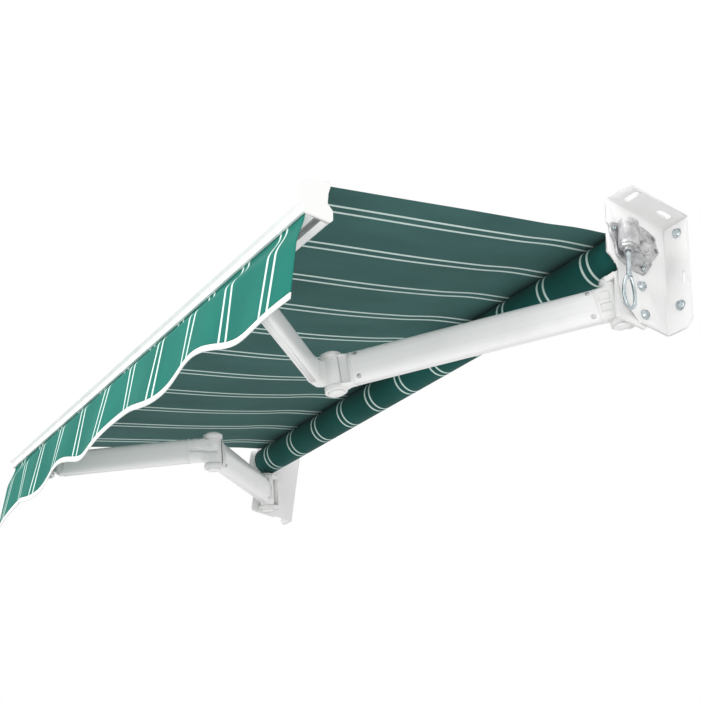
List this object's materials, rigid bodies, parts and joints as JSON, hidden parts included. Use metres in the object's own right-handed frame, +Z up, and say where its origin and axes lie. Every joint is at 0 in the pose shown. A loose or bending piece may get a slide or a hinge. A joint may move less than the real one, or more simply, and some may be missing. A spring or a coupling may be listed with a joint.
{
  "type": "folding arm awning",
  "caption": "Patio awning with a striped cloth on a crank-driven roller, two sprung folding arms and a front bar with a wavy valance.",
  "frame": {"origin": "on the wall plane, at mid width, level with the roller's axis", "axes": "+X along the roller to the gearbox end, +Y into the wall, +Z up"},
  "size_m": [1.502, 0.8042, 0.5185],
  "materials": {
    "white_powder_coat": "satin",
    "white_coated_aluminium": "satin",
    "white_cast_metal": "satin",
    "white_plastic": "satin",
    "canopy_cloth": "matte",
    "valance_cloth": "matte",
    "hem_tape": "matte",
    "zinc_plated_steel": "satin",
    "die_cast_alloy": "satin",
    "spring_steel": "satin",
    "nylon": "matte"
  },
  "bodies": {
    "frame": {"bracket_left": "white_powder_coat", "bracket_right": "white_powder_coat", "canopy": "canopy_cloth", "gearbox_cover": "die_cast_alloy", "gearbox_housing": "die_cast_alloy", "gearbox_screw_1": "zinc_plated_steel", "gearbox_screw_2": "zinc_plated_steel", "gearbox_screw_3": "zinc_plated_steel", "idler_bush": "nylon", "mount_bolt_lower_left": "zinc_plated_steel", "mount_bolt_lower_right": "zinc_plated_steel", "mount_bolt_upper_left": "zinc_plated_steel", "mount_bolt_upper_right": "zinc_plated_steel", "shoulder_mount_left": "white_cast_metal", "shoulder_mount_right": "white_cast_metal", "shoulder_pin_left": "white_powder_coat", "shoulder_pin_right": "white_powder_coat", "wall_bolt_lower_left": "zinc_plated_steel", "wall_bolt_lower_right": "zinc_plated_steel", "wall_bolt_upper_left": "zinc_plated_steel", "wall_bolt_upper_right": "zinc_plated_steel"},
    "roller": {"roller_tube": "zinc_plated_steel", "cloth_roll": "canopy_cloth", "drive_plug": "zinc_plated_steel", "idler_plug": "zinc_plated_steel"},
    "crank": {"crank_eye": "zinc_plated_steel"},
    "bar": {"bar_cap_left": "white_plastic", "bar_cap_right": "white_plastic", "bar_clevis_left": "white_cast_metal", "bar_clevis_right": "white_cast_metal", "canopy_rod": "nylon", "front_bar": "white_coated_aluminium", "tip_pin_left": "zinc_plated_steel", "tip_pin_right": "zinc_plated_steel", "valance": "valance_cloth", "valance_binding": "hem_tape", "valance_rod": "nylon"},
    "rear_arm_right": {"rear_tube_right": "white_coated_aluminium", "shoulder_knuckle_right": "white_cast_metal", "elbow_yoke_right": "white_cast_metal", "elbow_pin_right": "white_powder_coat", "arm_spring_right": "spring_steel"},
    "front_arm_right": {"front_tube_right": "white_coated_aluminium", "elbow_knuckle_right": "white_cast_metal", "tip_knuckle_right": "white_cast_metal"},
    "rear_arm_left": {"rear_tube_left": "white_coated_aluminium", "shoulder_knuckle_left": "white_cast_metal", "elbow_yoke_left": "white_cast_metal", "elbow_pin_left": "white_powder_coat", "arm_spring_left": "spring_steel"},
    "front_arm_left": {"front_tube_left": "white_coated_aluminium", "elbow_knuckle_left": "white_cast_metal", "tip_knuckle_left": "white_cast_metal"}
  },
  "joints": [
    {"name": "roller_turn", "type": "hinge", "parent": "frame", "child": "roller", "pos_m": [0, -0.111, 0], "axis": [-1, 0, 0], "range_deg": [0, 848], "deforming": ["canopy"]},
    {"name": "crank_turn", "type": "hinge", "parent": "frame", "child": "crank", "pos_m": [0.72, -0.131, 0], "axis": [0, 0, 1], "range_deg": [0, 9328.5]},
    {"name": "shoulder_right", "type": "hinge", "parent": "frame", "child": "rear_arm_right", "pos_m": [0.661, -0.107, -0.098], "axis": [0.0802, 0.2513, -0.9646], "range_deg": [0, 36.5]},
    {"name": "elbow_right", "type": "hinge", "parent": "rear_arm_right", "child": "front_arm_right", "pos_m": [0.25598, -0.46036, -0.22372], "axis": [-0.0802, -0.2513, 0.9646], "range_deg": [0, 81.4]},
    {"name": "bar_pivot_right", "type": "hinge", "parent": "front_arm_right", "child": "bar", "pos_m": [0.49426, -0.75601, -0.28092], "axis": [0.0802, 0.2513, -0.9646], "range_deg": [0, 44.9]},
    {"name": "shoulder_left", "type": "hinge", "parent": "frame", "child": "rear_arm_left", "pos_m": [-0.661, -0.107, -0.098], "axis": [0.0802, -0.2513, 0.9646], "range_deg": [0, 36.5]},
    {"name": "elbow_left", "type": "hinge", "parent": "rear_arm_left", "child": "front_arm_left", "pos_m": [-0.25598, -0.46036, -0.22372], "axis": [-0.0802, 0.2513, -0.9646], "range_deg": [0, 81.4]}
  ],
  "couplings": [
    {"joint": "crank_turn", "follows": "roller_turn", "ratio": 11},
    {"joint": "shoulder_right", "follows": "roller_turn", "ratio": 0.043},
    {"joint": "elbow_right", "follows": "roller_turn", "ratio": 0.09589},
    {"joint": "bar_pivot_right", "follows": "roller_turn", "ratio": 0.05289},
    {"joint": "shoulder_left", "follows": "roller_turn", "ratio": 0.043},
    {"joint": "elbow_left", "follows": "roller_turn", "ratio": 0.09589}
  ]
}
